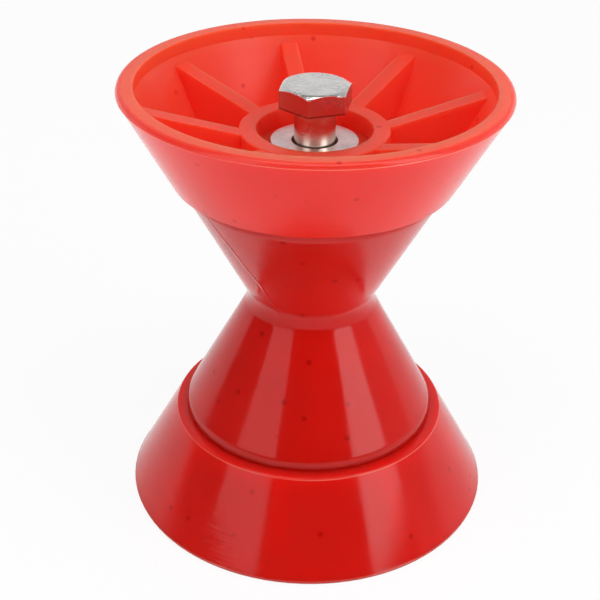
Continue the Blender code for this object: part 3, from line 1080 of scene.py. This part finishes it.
# %% Hexagonal bar
HEX_CORNER = FLATS / 2 / math.cos(math.pi / 6)
HEX_PHASE = -100.8
CLEAR = HEX_CORNER + 0.3
SHANK = 6.0
HEAD_SEAT = BOLT_TOP - HEAD_HEIGHT
DROP = (CLEAR - FACE_RADIUS) * CHAMFER


def hex_bar(name, low, high):
    """A length of hexagonal bar about the axis, one corner at the right phase."""
    deselect_all()
    bpy.ops.mesh.primitive_cylinder_add(
        vertices=6, radius=HEX_CORNER * MM, depth=(high - low) * MM,
        location=(0, 0, (high + low) / 2 * MM),
    )
    bar = bpy.context.object
    bar.name = name
    bpy.ops.object.transform_apply(location=True, rotation=True, scale=True)
    corner = bar.data.vertices[0].co
    turn_mesh(bar, HEX_PHASE - math.degrees(math.atan2(corner.y, corner.x)))
    return bar


print("hexagon", round(2 * HEX_CORNER, 2), "mm across corners")

# %% [markdown]
# The edges round the six flats are broken a little with the bevel tool. A flat is
# an upright face that lies as far out as half the width of the hexagon.

# %% Turn the bolt and break its edges
UPRIGHT = 0.02
FLAT_OUT = 0.97 * FLATS / 2
SAME_FACE = 0.98
HEX_MERGE = 5e-6


def is_flat(face):
    """True for one of the six flats of a hexagon."""
    out = face.calc_center_median().xy.length / MM
    return abs(face.normal.z) < UPRIGHT and out > FLAT_OUT


def flat_edge(edge):
    """True for an edge round one of the six flats."""
    if len(edge.link_faces) != 2:
        return False
    one, other = edge.link_faces
    return (is_flat(one) or is_flat(other)) and one.normal.dot(other.normal) < SAME_FACE


def round_flats(piece, size):
    """Breaks the edges round the six flats of a head or a nut."""
    bpy.context.view_layer.objects.active = piece
    bpy.ops.object.mode_set(mode="EDIT")
    bpy.ops.mesh.select_all(action="SELECT")
    bpy.ops.mesh.remove_doubles(threshold=HEX_MERGE)
    found = pick(piece, flat_edge, "edges")
    bpy.ops.mesh.bevel(
        affect="EDGES", offset_type="OFFSET", offset=size * MM, segments=2, profile=0.5,
        clamp_overlap=True,
    )
    bpy.ops.object.mode_set(mode="OBJECT")
    print(piece.name, "edges broken", found)


bolt = turn_piece(
    "bolt_with_head",
    [
        (0.0, 0.0),
        (SHANK - 1.0, 0.0),
        (SHANK, 1.0),
        (SHANK, HEAD_SEAT),
        (CLEAR, HEAD_SEAT),
        (CLEAR, BOLT_TOP - DROP),
        (FACE_RADIUS, BOLT_TOP),
        (0.0, BOLT_TOP),
    ],
    rounds=[((SHANK, HEAD_SEAT), 0.5, 3), ((FACE_RADIUS, BOLT_TOP), 2.2, 6)],
    closed=False,
)
combine(bolt, hex_bar("bolt_bar", -1.0, BOLT_TOP + 1.0), "INTERSECT")
round_flats(bolt, 0.2)
report(bolt)

# %% [markdown]
# ## The thread
# The last 36 mm of the shank are threaded. A thread can be a picture on the surface,
# but its end shows under the nut, so it is cut: a small triangle is wound up the
# shank by the Screw modifier and taken away from it.

# %% Cut the thread
PITCH = 1.75
THREAD_LENGTH = 36.0
THREAD_DEPTH = 0.95
THREAD_OUT = 0.25
THREAD_START = -0.9
THREAD_HALF = PITCH * 0.53
THREAD_STEPS = 32


def thread_cutter(name, start, turns):
    """A coil with a triangular section, wound from start upwards."""
    cutter = draw_section(name, [
        (SHANK - THREAD_DEPTH, start),
        (SHANK + THREAD_OUT, start + THREAD_HALF),
        (SHANK + THREAD_OUT, start - THREAD_HALF),
    ])
    bpy.ops.object.mode_set(mode="OBJECT")
    bpy.ops.object.modifier_add(type="SCREW")
    step = cutter.modifiers[-1]
    step.screw_offset = PITCH * MM
    step.iterations = turns
    step.steps = step.render_steps = THREAD_STEPS
    step.use_merge_vertices = False
    bpy.ops.object.modifier_apply(modifier=step.name)
    bpy.ops.object.mode_set(mode="EDIT")
    bpy.ops.mesh.select_all(action="SELECT")
    bpy.ops.mesh.fill_holes(sides=3)
    bpy.ops.mesh.select_all(action="SELECT")
    bpy.ops.mesh.normals_make_consistent(inside=False)
    bpy.ops.object.mode_set(mode="OBJECT")
    report(cutter)
    return cutter


cutter = thread_cutter("thread_cutter", THREAD_START, int(THREAD_LENGTH / PITCH))
combine(bolt, cutter, "DIFFERENCE")
smooth_finish(bolt)
dress(bolt, bolt_finish, "bolt", "hex_bolt")

# %% [markdown]
# ## Washers
# A punched washer has one edge drawn round by the punch and one left sharp. The
# upper one lies in the counterbore of the upper bell, and the lower one is the
# same washer turned over.

# %% Punch the washers
WASHER_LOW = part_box("upper_washer")[0].z / MM
WASHER_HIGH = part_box("upper_washer")[1].z / MM
WASHER_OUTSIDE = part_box("upper_washer")[1].x / MM
WASHER_HOLE = 6.65
washer = turn_piece(
    "upper_washer_plate",
    [
        (WASHER_HOLE, WASHER_LOW),
        (WASHER_OUTSIDE, WASHER_LOW),
        (WASHER_OUTSIDE, WASHER_HIGH),
        (WASHER_HOLE, WASHER_HIGH),
    ],
    rounds=[
        ((WASHER_OUTSIDE, WASHER_HIGH), 0.35, 3),
        ((WASHER_HOLE, WASHER_HIGH), 0.25, 3),
    ],
)
smooth_finish(washer)
lower_washer = turn_over(washer, "lower_washer_plate")
dress(washer, washer_finish, "upper_washer", "upper_washer")
dress(lower_washer, washer_finish, "lower_washer", "lower_washer")

# %% [markdown]
# ## The lock nut
# The nut is a thin hexagon with a collar, which is rolled over a nylon ring that
# grips the thread. It is turned and cut to the hexagon as the bolt head was.

# %% Make the nut and its ring
NUT_STEPS = 72
NUT_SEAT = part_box("lock_nut")[1].z / MM
NUT_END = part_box("lock_nut")[0].z / MM
HEX_END = NUT_SEAT - 7.0
RING_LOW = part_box("nut_locking_ring")[0].z / MM
RING_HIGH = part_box("nut_locking_ring")[1].z / MM
NUT_BORE = SHANK + 0.3
POCKET_LOW, POCKET_HIGH = RING_LOW - 0.3, RING_HIGH + 0.3
COLLAR = 8.8
LIP_HOLE, POCKET_RADIUS = 7.5, 8.3
RING_RADIUS = 8.0
nut = turn_piece(
    "lock_nut_body",
    [
        (NUT_BORE, NUT_SEAT),
        (FACE_RADIUS, NUT_SEAT),
        (CLEAR, NUT_SEAT - DROP),
        (CLEAR, HEX_END + DROP),
        (COLLAR, HEX_END),
        (COLLAR, POCKET_LOW),
        (LIP_HOLE, NUT_END),
        (LIP_HOLE, POCKET_LOW),
        (POCKET_RADIUS, POCKET_LOW),
        (POCKET_RADIUS, POCKET_HIGH),
        (NUT_BORE, POCKET_HIGH),
    ],
    rounds=[((COLLAR, POCKET_LOW), 0.8, 4)],
    steps=NUT_STEPS,
)
combine(nut, hex_bar("nut_bar", NUT_END - 1, NUT_SEAT + 1), "INTERSECT")
round_flats(nut, 0.15)
smooth_finish(nut)
dress(nut, bolt_finish, "bolt", "lock_nut")

ring = turn_piece(
    "nylon_grip_ring",
    [
        (NUT_BORE, RING_LOW),
        (RING_RADIUS, RING_LOW),
        (RING_RADIUS, RING_HIGH),
        (NUT_BORE, RING_HIGH),
    ],
    rounds=[((NUT_BORE, RING_LOW), 0.3, 3)],
    steps=NUT_STEPS,
)
smooth_finish(ring)
dress(ring, nylon_finish, "bolt", "nut_locking_ring")
